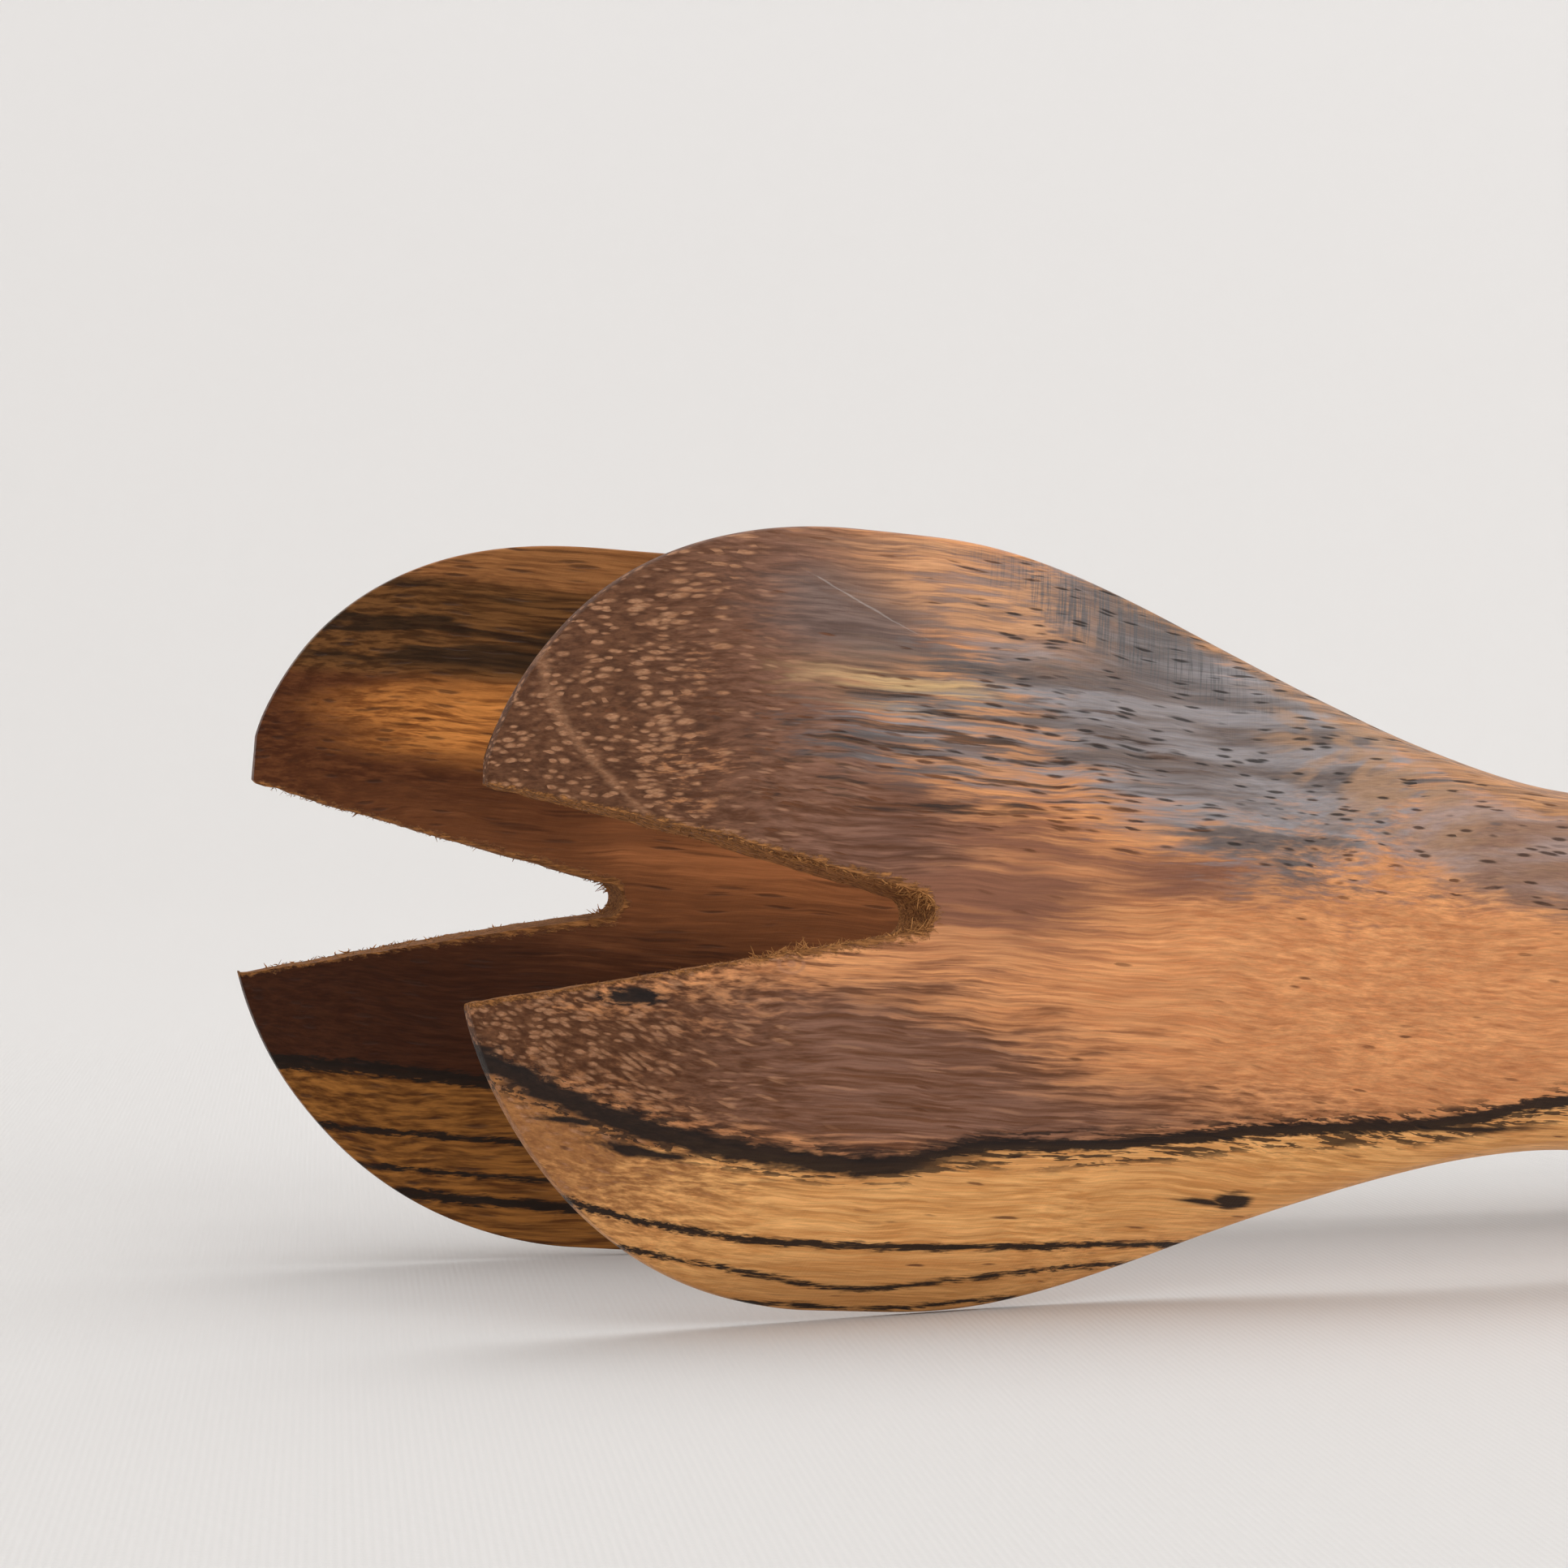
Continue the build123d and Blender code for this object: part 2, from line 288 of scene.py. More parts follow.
def figure_patch():
    """A cloud of other colour in the wood. Ragged, made once per wood, breaks up its border."""
    group, n, given, out = effect(
        "figure patch",
        {
            "Place": None, "Ragged": 0.0, "Centre X": 0.0, "Centre Z": 0.0, "Half Length": 10.0,
            "Half Height": 5.0, "Slope": 0.0, "Soft": 0.25,
        },
        "Patch",
    )
    x, _, z = n.split(given["Place"])
    along = x - given["Centre X"]
    up = z - given["Centre Z"] - along * given["Slope"]
    far_along = along / given["Half Length"]
    far_up = up / given["Half Height"]
    reach = n.maths("SQRT", far_along * far_along + far_up * far_up) + given["Ragged"]
    n.feed(out, n.step(reach, 1.0 + given["Soft"], 1.0 - given["Soft"]))
    return group


def ink_line():
    """A black line in the wood: Offset is the height above its middle, Wander moves its edges."""
    group, n, given, out = effect(
        "ink line", {"Offset": 0.0, "Wander": 0.0, "Thickness": 0.5, "Soft": 0.15}, "Line"
    )
    away = abs(given["Offset"]) + given["Wander"]
    thick, soft = given["Thickness"], given["Soft"]
    n.feed(out, n.step(away, thick + soft, thick - soft))
    return group


def sanding_scratches():
    """Fine scratches left by sanding across the grain, from 0 to 1."""
    group, n, given, out = effect(
        "sanding scratches", {"Place": None, "Turn": 1.3, "Spacing": 0.16, "Seed": 0.0}, "Scratches"
    )
    turn = n.node("ShaderNodeVectorRotate", rotation_type="Y_AXIS")
    n.feed(turn.inputs["Vector"], given["Place"])
    n.feed(turn.inputs["Angle"], given["Turn"])
    x, y, z = n.split(n.result(turn))
    across = z / given["Spacing"]
    lines = n.join(x * 0.16, y * 0.16 + given["Seed"], across)
    n.feed(out, n.step(n.noise(lines, 1.0, 2.0, 0.6), 0.42, 0.75))
    return group


GRAIN = grain_streaks()
PORES = pore_dashes()
PATCH = figure_patch()
INK = ink_line()
SCRATCHES = sanding_scratches()


class Finish(Nodes):
    """A new material and the nodes of its shader."""

    def __init__(self, name):
        self.material = bpy.data.materials.new(name)
        self.material.use_nodes = True
        super().__init__(self.material.node_tree)

    def done(self, colour, rough, height, depth, specular=None, metallic=None):
        """Joins the colour, roughness and small relief (depth is in metres) to the shader."""
        bump = self.node("ShaderNodeBump")
        self.feed(bump.inputs["Height"], height)
        self.feed(bump.inputs["Distance"], depth)
        self.feed(bump.inputs["Strength"], 1.0)
        labels = "Base Color", "Roughness", "Specular IOR Level", "Metallic", "Normal"
        for label, value in zip(labels, (colour, rough, specular, metallic, self.result(bump))):
            self.feed(self.tree.nodes["Principled BSDF"].inputs[label], value)
        return self.material


# ---- The colours of the wood ----
HEART_LIGHT = (0.85, 0.385, 0.155)
HEART = (0.64, 0.245, 0.090)
HEART_DARK = (0.30, 0.105, 0.042)
SAP = (0.93, 0.50, 0.185)
SAP_DARK = (0.63, 0.285, 0.086)
TAN = (0.50, 0.285, 0.145)
PURPLE = (0.036, 0.0105, 0.003)
PURPLE_LIGHT = (0.104, 0.040, 0.0185)
PLUM = (0.235, 0.120, 0.086)
SMOKE = (0.098, 0.097, 0.103)
# The lighter smoky colour is painted sheen: the bluish grey of a reflection on the dark wood.
SMOKE_PAINTED_SHEEN = (0.270, 0.275, 0.297)
INK_BLACK = (0.013, 0.009, 0.008)
FIBRE = (0.50, 0.215, 0.068)

CURVE_START = -280.0              # the lines in the wood are drawn over this part of the arm,
CURVE_LENGTH = 310.0              # along its length
CURVE_HEIGHT = 80.0               # and over this height, half above the middle and half below

FLOOR_CLOTH = (0.685, 0.672, 0.66)
WALL_CLOTH = (0.765, 0.758, 0.755)


class Timber:
    """What the wood of both arms shares: its place, waves, streaks and torn edges."""

    def __init__(self, name, seed):
        self.n = n = Finish(name)
        self.place = n.attribute("wood_place", "Vector")
        self.cut = n.attribute("saw_cut", "Fac")
        self.x, self.y, self.z = n.split(self.place)
        self.slow = n.noise(n.join(self.x * 0.06, seed, self.z * 0.12)) - 0.5
        self.quick = n.noise(n.join(self.x * 0.35, seed + 5, self.z * 1.1), 1.0, 3.0, 0.6) - 0.5
        self.height = self.z + (self.slow * 2.4 + self.quick * 0.3)
        self.wood = n.join(self.x, self.y, self.height)
        self.broad = self.grain(34.0, 2.3, seed + 1)
        self.fine = self.grain(9.0, 0.42, seed + 2)
        self.hair = self.grain(3.2, 0.16, seed + 3)
        fingers = (self.broad - 0.5) * 0.34 + (self.fine - 0.5) * 0.42
        self.ragged = fingers + self.quick * 0.35 + self.slow * 0.6

    def grain(self, length, width, seed):
        """Streaks of this length and width, in mm."""
        return self.n.use(GRAIN, place=self.wood, length=length, width=width, seed=seed)

    def shades(self, dark, light):
        """Two shades in fine streaks."""
        return self.n.blend(self.fine, dark, light)

    def paint(self, mask, colour):
        """Lays another colour over the wood's colour where the mask is."""
        self.colour = self.n.blend(mask, self.colour, colour)

    def patch(self, x, z, length, height, slope=0.0, soft=0.5):
        """A cloud round (x, z) that reaches length along the grain and height across it, in mm."""
        return self.n.use(
            PATCH, place=self.wood, ragged=self.ragged, centre_x=x, centre_z=z, half_length=length,
            half_height=height, slope=slope, soft=soft,
        )

    def above(self, points):
        """Height in mm above a line in the wood that passes through these (x, z) points."""
        n = self.n
        made = n.node("ShaderNodeFloatCurve")
        curve = made.mapping.curves[0]
        while len(curve.points) < len(points):
            curve.points.new(0.5, 0.5)
        for point, (x, z) in zip(curve.points, points):
            point.location = ((x - CURVE_START) / CURVE_LENGTH, z / CURVE_HEIGHT + 0.5)
        made.mapping.update()
        n.feed(made.inputs["Value"], (self.x - CURVE_START) / CURVE_LENGTH)
        return self.z - (n.result(made) * CURVE_HEIGHT - CURVE_HEIGHT / 2)

    def patches(self, *rows):
        return [self.patch(*row) for row in rows]

    def line(self, above, thickness):
        """A black line with edges that follow the grain."""
        wander = self.quick * (1.5 * thickness + 0.3) + (self.hair - 0.5) * 0.35
        return self.n.use(INK, offset=above, wander=wander, thickness=thickness, soft=0.16)

    def lines(self, *rows):
        return [self.line(self.above(points), thickness) for thickness, points in rows]

    def pores(self, length, width, size, amount, seed, slope=0.0):
        place = self.wood
        if slope:
            place = self.n.join(self.x, self.y, self.height + self.x * slope)
        return self.n.use(
            PORES, place=place, length=length, width=width, size=size, amount=amount, seed=seed,
        )

    def finish(self, pits, gloss, sheen):
        """Adds the torn fibres of the sawn notch, the roughness and the relief."""
        n = self.n
        tuft = n.noise(n.vectors("MULTIPLY", self.place, (1.1, 2.6, 2.6)), 1.0, 3.0, 0.7)
        near_root = n.step(self.x, -262.0, -240.0, 0.0, 0.25)
        torn = self.cut + near_root + (tuft - 0.5) * 2.0
        torn = n.step(torn, 0.55, 1.0) * n.step(self.cut, 0.0, 0.3)
        thread = n.noise(n.vectors("MULTIPLY", self.place, (0.5, 4.5, 4.5)), 1.0, 3.0, 0.7)
        fibre = n.blend(n.step(thread, 0.35, 0.68), (0.13, 0.052, 0.016), FIBRE)
        threads = self.grain(4.5, 0.13, 6.0)
        veins = self.grain(15.0, 0.3, 8.0)
        shade = 1.19 - (threads * 0.2 + veins * 0.18)
        colour = n.blend(1.0, self.colour, shade, "MULTIPLY")
        colour = n.blend(torn * 0.9, colour, fibre)
        worn = self.fine * 0.05 + pits * 0.2
        rough = n.either(0.41 + worn + gloss * -0.1, torn * 0.9)
        grit = self.hair * 0.22 + self.fine * 0.18
        scratch = n.use(SCRATCHES, place=self.place, turn=1.3, spacing=0.17, seed=3.0)
        height = grit + scratch * 0.12 - pits * 0.8 + torn * thread * 3.5
        return n.done(colour, rough, height, 6e-05, specular=sheen)


def front_wood():
    """Dark, pored wood at the tips, a smoky cloud above of dark wood with painted bluish-grey
    sheen, orange heartwood, pale wood below with painted shade at its lower edge.
    """
    t = Timber("front_arm_wood", 0.0)
    n = t.n
    t.colour = t.shades(HEART, HEART_LIGHT)
    t.paint(t.broad * 0.32, HEART_DARK)
    t.paint(t.hair * 0.2, TAN)
    bands = t.grain(120.0, 4.2, 9.0) * n.step(t.x, -190, -140)
    t.paint(bands * 0.55, (0.34, 0.125, 0.05))
    red_line = t.pores(11.0, 0.55, 0.34, 0.4, 21.0, slope=0.03)
    t.paint(red_line * 0.4, (0.36, 0.12, 0.045))

    rust = n.either(t.patch(-236, 4, 15, 6.5, soft=0.4), t.patch(-215, 5.5, 12, 2.2))
    t.paint(rust * n.step(t.broad, 0.15, 0.7, 0.4, 1.0), (0.25, 0.105, 0.06))

    purple = n.either(*t.patches(
        (-281, 14, 36, 40, 0.4, 0.22), (-249, -11.8, 30, 6.8, -0.05, 0.35),
        (-232, -14.6, 26, 3.6, 0.015, 0.55), (-250, 8.5, 14, 7, 0, 0.35),
        (-253, 16, 12, 8, 0, 0.35), (-250, 24.5, 16, 8.5, 0, 0.35),
    ))
    purple_wood = t.shades(PURPLE, PURPLE_LIGHT)
    purple_wood = n.blend(n.step(t.x, -266, -244), purple_wood, t.shades(PURPLE_LIGHT, PLUM))
    pale_share = n.step(t.x, -268, -254) * n.step(t.x, -222, -250, 0.3, 0.6)
    pale_line = t.pores(8.0, 0.5, 0.33, pale_share, 25.0, slope=0.05)
    purple_wood = n.blend(pale_line * 0.5, purple_wood, (0.4, 0.21, 0.125))
    t.paint(purple * 0.93, purple_wood)
    slate = t.patch(-244.5, 24.8, 8.5, 3.8) * 0.75
    t.paint(slate, t.shades((0.115, 0.08, 0.07), (0.2, 0.148, 0.13)))

    straw = t.patch(-241, 19.3, 10.5, 2.6, slope=-0.02, soft=0.45)
    straw = straw * n.step(t.broad, 0.3, 0.7, 0.15, 1.0)
    t.paint(straw, t.shades((0.36, 0.225, 0.125), (0.62, 0.41, 0.2)))

    # The smoky cloud: dark wood streaked with a bluish grey that is painted sheen, and a little
    # glossier.
    smoky_cloud_and_sheen = n.either(
        t.patch(-213, 18.5, 23, 10.5, slope=-0.2, soft=0.35),
        t.patch(-232, 15.2, 17, 3.6, soft=0.45) * 0.9 * n.step(t.fine, 0.75, 0.3, 0.45, 1.0),
        t.patch(-184, 9.5, 17, 4.2, slope=-0.12, soft=0.45) * 0.75,
        t.patch(-120, 9.2, 62, 2.6) * 0.6,
    )
    smoky_wood_and_sheen = n.blend(n.step(t.broad, 0.1, 0.9), SMOKE, SMOKE_PAINTED_SHEEN)
    smoky_wood_and_sheen = n.blend(t.hair * 0.18, smoky_wood_and_sheen, (0.34, 0.23, 0.16))
    t.paint(smoky_cloud_and_sheen * 0.93, smoky_wood_and_sheen)
    top_orange = t.patch(-233, 27.3, 11.5, 4.0, slope=-0.14)
    top_orange = top_orange * n.step(t.fine, 0.1, 0.8, 0.4, 0.9)
    t.paint(top_orange, t.shades((0.42, 0.19, 0.09), (0.64, 0.33, 0.16)))
    soot = t.grain(15.0, 0.75, 17.0)
    soot = n.step(soot, 0.6, 0.9) * t.patch(-234, 14.2, 21, 5.0, slope=0.03, soft=0.4)
    t.paint(soot * 0.85, t.shades((0.03, 0.022, 0.02), (0.12, 0.055, 0.025)))

    swirl_reach = abs(t.height - 17.0) + (t.x + 200.0) * 0.6
    curls = n.noise(n.join(swirl_reach * 0.5, t.y, t.height * 0.18))
    swirl = t.patch(-197, 17, 8.5, 7, slope=-0.35) * n.step(curls, 0.42, 0.62)
    t.paint(swirl * 0.75, (0.42, 0.245, 0.14))
    edge = t.above([
        (-280, 38), (-236, 33), (-212, 25.5), (-196, 18.8), (-176, 12.3), (-150, 11.8), (30, 11),
    ])
    rim_wood = n.step(edge + t.quick * 2.0, -0.9, 0.3) * n.step(t.x, -226, -214)
    t.paint(rim_wood * 0.8, t.shades((0.16, 0.08, 0.04), (0.5, 0.25, 0.11)))
    # Painted sheen: a neutral grey near the top edge, strongest along the sanding scratches.
    scratched_sheen = t.patch(-218, 25.0, 12, 2.8, slope=-0.32) * 0.9
    scratch = n.use(SCRATCHES, place=t.place, turn=1.25, spacing=0.2, seed=0.0)
    t.paint(scratched_sheen * n.step(scratch, 0.0, 0.6, 0.45, 1.0), (0.115, 0.108, 0.11))

    over = t.above([
        (-280, -9), (-270, -14), (-260, -17.2), (-250, -18.7), (-240, -19.1), (-232, -17.5),
        (-218, -16.8), (-203, -14.9), (-190, -13.8), (-176, -11), (-120, -8.5), (-60, -9),
        (30, -7.5),
    ])
    sap = n.blend(t.broad * 0.35, t.shades(SAP_DARK, SAP), (0.6, 0.25, 0.085))
    # Painted shade: the sapwood darkens towards the lower edge, where the back curves under.
    sap = n.blend(n.step(t.z, -25.0, -31.5) * 0.6, sap, (0.34, 0.155, 0.045))
    tip = t.patch(-273, -15, 17, 13) * 0.95
    sap = n.blend(tip, sap, t.shades((0.25, 0.1, 0.035), (0.4, 0.17, 0.055)))
    t.paint(n.step(over, 0.25, -0.25), sap)

    dark_end = purple * n.step(t.x, -236, -258)
    arc = t.x - (-271.0 + (19.0 - t.z) ** 2.0 * 0.055)
    arc_line = n.use(INK, offset=arc, wander=t.quick * 1.4, thickness=0.35, soft=0.4)
    arc_line = arc_line * n.step(t.z, 3.0, 8.0)
    crowded_arc = t.x - (-262.5 + (t.z - 14.0) ** 2.0 * 0.035)
    crowded_arc = n.step(abs(crowded_arc), 3.2, 0.8)
    dense = n.step(t.x, -252, -268, 0.0, 0.5) + crowded_arc * 0.5
    dense = dense * n.step(t.x, -243, -256, 0.0, 0.72)
    pale = n.either(
        t.pores(3.3, 0.5, 0.55, dense, 11.0), t.pores(2.2, 0.4, 0.5, dense * 0.8, 15.0),
    )
    lower_dense = n.step(t.x, -240, -268, 0.0, 0.7) * n.step(t.z, 1, -5)
    lower_pale = t.pores(3.0, 0.45, 0.5, lower_dense, 31.0, slope=0.3)
    speck = n.either(pale, lower_pale * 0.8, arc_line * 0.55) * dark_end
    t.paint(speck * 0.8, n.blend(t.hair, (0.31, 0.14, 0.066), (0.5, 0.26, 0.14)))

    crowd = n.either(smoky_cloud_and_sheen * 0.5, t.patch(-238, 13.5, 24, 6, soft=0.4) * 0.6, 0.06)
    dark_pore = t.pores(3.4, 0.46, 0.36, crowd * n.step(t.x, -262, -250), 47.0, slope=0.07)
    long_pore = t.pores(6.5, 0.55, 0.34, crowd * 0.7, 71.0, slope=0.05)
    pit = n.either(dark_pore, long_pore)
    t.paint(pit * 0.85, n.blend(smoky_cloud_and_sheen, (0.14, 0.052, 0.022), (0.018, 0.014, 0.013)))

    thick_left = n.use(INK, offset=over + 0.2, wander=t.quick * 2.2, thickness=0.95, soft=0.4)
    thick_left = thick_left * n.step(t.x, -226, -238)
    frayed = n.use(INK, offset=over + 0.3, wander=t.quick * 1.5, thickness=1.6, soft=0.6)
    fray = t.grain(5.0, 0.42, 27.0)
    frayed = frayed * n.step(fray, 0.52, 0.62)
    lower_lines = t.lines(
        (0.28, [(-280, -18.5), (-268, -22.6), (-255, -25.3), (-240, -26), (-225, -25.7),
                (-208, -25.2), (30, -25)]),
        (0.2, [(-280, -21), (-262, -26.5), (-250, -28.4), (-240, -29.6), (-230, -28.6),
               (-213, -27), (30, -26)]),
        (0.18, [(-280, -30), (-246, -31), (-236, -31.2), (-226, -30.3), (30, -24)]),
    )
    spikes = t.patches(
        (-186, -14.15, 6.5, 0.35, 0.02), (-187.5, -13.3, 2.6, 0.75, 0.04, 0.4),
        (-260.5, -18.9, 3.6, 0.4, -0.08), (-266.5, -16.9, 2.6, 0.3, -0.05),
    )
    knots = t.patches(
        (-264, -6.8, 2.6, 0.75, 0, 0.25), (-205.2, -20.9, 1.9, 0.85, 0, 0.3),
        (-208, -21.3, 2.6, 0.3),
    )
    ink = n.either(t.line(over, 0.55), thick_left, frayed * 0.9, *lower_lines, *spikes, *knots)
    t.paint(ink * 0.97, INK_BLACK)

    knot_reach = (t.x + 251.5) ** 2.0 + ((t.z + 3.6) * 1.5) ** 2.0
    rings = n.maths("SINE", n.maths("SQRT", knot_reach) * 7.5)
    rings = n.step(rings, -0.2, 0.8) * n.step(knot_reach, 3.2, 0.6)
    t.paint(rings * 0.45, (0.42, 0.2, 0.12))
    nick = t.patch(-243.5, 25.3, 4.6, 0.09, slope=-0.42, soft=0.4) * 0.4
    t.paint(nick, (0.45, 0.4, 0.37))
    return t.finish(n.either(pit, dark_end * 0.35), smoky_cloud_and_sheen, 0.15)


def rear_wood():
    """Darker and more striped than the front arm: black and gold below, a bright band above."""
    t = Timber("rear_arm_wood", 40.0)
    n = t.n
    t.colour = t.shades((0.055, 0.015, 0.005), (0.155, 0.052, 0.017))
    t.paint(n.step(t.z, 3.0, -8.0, 0.0, 0.75), (0.03, 0.008, 0.003))
    warm = n.either(t.patch(-222, 5, 22, 4), t.patch(-150, 2, 95, 8, soft=0.6))
    t.paint(warm * n.step(t.broad, 0.1, 0.9, 0.4, 1.0), (0.42, 0.155, 0.055))
    bright = t.patch(-253, 15.0, 13.5, 3.7) * n.step(t.fine, 0.0, 0.8, 0.5, 1.0)
    right_band = t.patch(-236, 15.5, 22, 3.2) * 0.7
    t.paint(n.either(bright, right_band), t.shades((0.4, 0.135, 0.03), (0.74, 0.29, 0.07)))
    top = n.step(t.z + t.quick * 3.0, 26.5, 28.5)
    t.paint(top, t.shades((0.22, 0.085, 0.028), (0.42, 0.18, 0.06)))
    olive = n.step(abs(t.height - 23.0), 5.0, 3.6)
    olive_wood = n.blend(n.step(t.fine, 0.1, 0.8), (0.085, 0.036, 0.012), (0.2, 0.088, 0.028))
    t.paint(olive * 0.92, olive_wood)
    bars = n.step(t.broad, 0.7, 0.4) * n.step(abs(t.z - 23.5), 4.5, 3.0)
    t.paint(bars * 0.8, (0.02, 0.013, 0.008))

    over = t.above([(-280, -16), (-262, -16.6), (-245, -17.4), (-225, -16.5), (-190, -14.5),
                    (-150, -9), (30, -8)])
    t.paint(n.step(over, 0.2, -0.2), t.shades((0.095, 0.032, 0.006), (0.35, 0.142, 0.029)))
    ink = n.either(t.line(over, 0.62), *t.lines(
        (0.28, [(-280, -21), (-262, -22), (-240, -22.6), (-215, -22), (30, -20)]),
        (0.24, [(-280, -24.5), (-262, -25.2), (-240, -25.8), (-215, -25), (30, -22)]),
        (0.45, [(-280, -26.8), (-262, -27.3), (-250, -27.9), (-235, -28.4), (30, -24)]),
    ))
    t.paint(ink * 0.97, (0.012, 0.008, 0.006))
    t.paint(t.pores(14.0, 0.55, 0.36, 0.6, 23.0) * 0.45, (0.028, 0.01, 0.005))
    dark_pore = t.pores(5.5, 0.5, 0.38, 0.35, 13.0)
    t.paint(dark_pore * 0.6, (0.04, 0.016, 0.008))
    return t.finish(dark_pore, olive, 0.18)


# ---- The carved arms ----

def corner_drop(past, radius):
    """How far a rounding of this radius has dropped, at a distance past its start."""
    past = min(max(past, 0.0), radius)
    return radius - math.sqrt(radius**2 - past**2)


def half_width(arm, x, up):
    """Half height of the arm's outline at x, on its upper (up = 1) or lower (-1) side."""
    if x < WIDEST_X:
        power = arm.upper if up > 0 else arm.lower
        xi = (WIDEST_X - x) / (WIDEST_X - NOSE_X)
        return BLADE_HALF * (1 - xi**power) ** (1 / power)
    neck = NECK_HALF + (0.5 if up < 0 else -0.2)
    if x < NECK_X:
        return mix(BLADE_HALF, neck, ease((x - SHOULDER_X) / (NECK_X - SHOULDER_X)))
    w = mix(neck, BUTT_HALF, ease((x - NECK_X) / (STRAIGHT_X - NECK_X)))
    return w - corner_drop(x - (BUTT_X - BUTT_CORNER), BUTT_CORNER - 0.6)


def handle_share(x):
    """0 in the blade and 1 in the handle."""
    start = SHOULDER_X + 0.25 * (NECK_X - SHOULDER_X)
    return ease((x - start) / (NECK_X - start))


def nose_share(x):
    xi = max(0.0, (WIDEST_X - x) / (WIDEST_X - NOSE_X))
    return 1 - xi**NOSE_POWER


def inner_y(arm, x, z, up):
    """The face towards the other arm: hollow in the blade, flat in the handle."""
    share = handle_share(x)
    u = min(1.0, abs(z) / half_width(arm, x, up))
    flat = SEAT_Y if x > SEAT_X else HANDLE_IN
    return mix(RIM, flat, share) + BOWL * nose_share(x) * (1 - share) * (1 - u * u)


def side_height(x):
    return mix(RIM_THICK, HANDLE_SIDE, handle_share(x))


def outer_y(arm, x, z, up):
    """The rounded back."""
    share = handle_share(x)
    u = min(1.0, abs(z) / half_width(arm, x, up))
    edge = mix(RIM, HANDLE_IN, share) + side_height(x)
    blade_back = (CROWN - RIM - RIM_THICK) * nose_share(x)
    back = mix(blade_back, HANDLE_THICK - HANDLE_SIDE, share)
    power = mix(2.0, 3.2, share)
    root = mix(1.0, 0.5, share)
    y = edge + back * (1 - u**power) ** root
    return y - corner_drop(x - (BUTT_X - BUTT_BACK), BUTT_BACK - 0.8)


def notch_half(x):
    """Half height of the sawn V at x."""
    root_x = NOTCH_END - NOTCH_ROOT
    if x >= NOTCH_END:
        return 0.0
    if x > root_x:
        return math.sqrt(max(0.0, NOTCH_ROOT**2 - (x - root_x) ** 2))
    return mix(NOTCH_ROOT, NOTCH_MOUTH, (root_x - x) / (root_x - TIP_X))


def saw_wander(arm, x, up):
    """The hand-held saw did not run quite straight."""
    slow = noise.noise((x / 5, up * 3, 20 * arm.side))
    quick = noise.noise((x / 1.3, up * 7, 4))
    return 0.22 * slow + 0.1 * quick


def split_z(arm, x, y, up):
    """Where an arm's upper or lower half begins: the notch's wall, or past it the arm's middle."""
    fade = 1 - ease((x - NOTCH_END) / 60)
    middle = (y * math.tan(arm.tilt) + arm.drop) * fade
    if x >= NOTCH_END:
        return middle
    wander = saw_wander(arm, x, up) * min(1.0, notch_half(x) / NOTCH_ROOT)
    return middle + up * (notch_half(x) / math.cos(arm.tilt) + wander)


def settle_split(surface, arm, x, up):
    """The point of a surface on the split line."""
    z = 0.0
    for _ in range(6):
        z = split_z(arm, x, surface(arm, x, z, up), up)
    return surface(arm, x, z, up), z


def rounded(before, corner, after, size, steps):
    """Points that round a corner between two others, reaching this far along each side."""
    a = corner + (before - corner).normalized() * min(size, (before - corner).length * 0.48)
    b = corner + (after - corner).normalized() * min(size, (after - corner).length * 0.48)
    return [
        a.lerp(corner, t).lerp(corner.lerp(b, t), t) for t in (k / steps for k in range(steps + 1))
    ]


SHEET_STEPS = 40
EDGE_STEPS = 5
WALL_STEPS = 8


def half_loop(arm, x, up):
    """Points (y, z) of one half of the section at x: outer sheet, rim, inner sheet."""
    w = up * half_width(arm, x, up)
    outer_start = settle_split(outer_y, arm, x, up)
    inner_end = settle_split(inner_y, arm, x, up)
    block = ease((x - (SEAT_X - 14)) / 12)
    share = handle_share(x)
    inner_ease = mix(mix(0.42, 2.4, share), 0.12, block)
    outer_ease = mix(0.42, 1.0, share)
    inner_corner = Vector((inner_y(arm, x, w, up), w))
    outer_corner = Vector((outer_y(arm, x, w, up), w))

    def sheet(surface, z_split, margin):
        reach = w - up * margin
        shares = [math.sin(math.pi / 2 * k / SHEET_STEPS) for k in range(SHEET_STEPS)]
        zs = [mix(z_split, reach, share) for share in shares]
        return [Vector((surface(arm, x, z, up), z)) for z in zs]

    outer = sheet(outer_y, outer_start[1], outer_ease)
    inner = sheet(inner_y, inner_end[1], inner_ease)
    top = rounded(outer[-1], outer_corner, inner_corner, outer_ease, EDGE_STEPS)
    low = rounded(outer_corner, inner_corner, inner[-1], inner_ease, EDGE_STEPS)
    return outer + top + low + inner[::-1]


def wall_line(x, up, loop):
    """Points of the notch's wall between the inner and outer sheets."""
    inner, outer = loop[-1], loop[0]
    points = []
    for k in range(1, WALL_STEPS):
        t = k / WALL_STEPS
        rough = 0.16 * noise.noise((x / 0.9, t * 5, up * 9))
        rough += 0.1 * noise.noise((x / 0.35, t * 11, up))
        depth = 0.6 * math.sin(math.pi * t)
        p = inner.lerp(outer, t)
        points.append(Vector((p.x, p.y - up * rough * depth * min(1.0, notch_half(x)))))
    return points


def spaced(start, end, step):
    count = max(1, round((end - start) / step))
    return [mix(start, end, k / count) for k in range(count)]


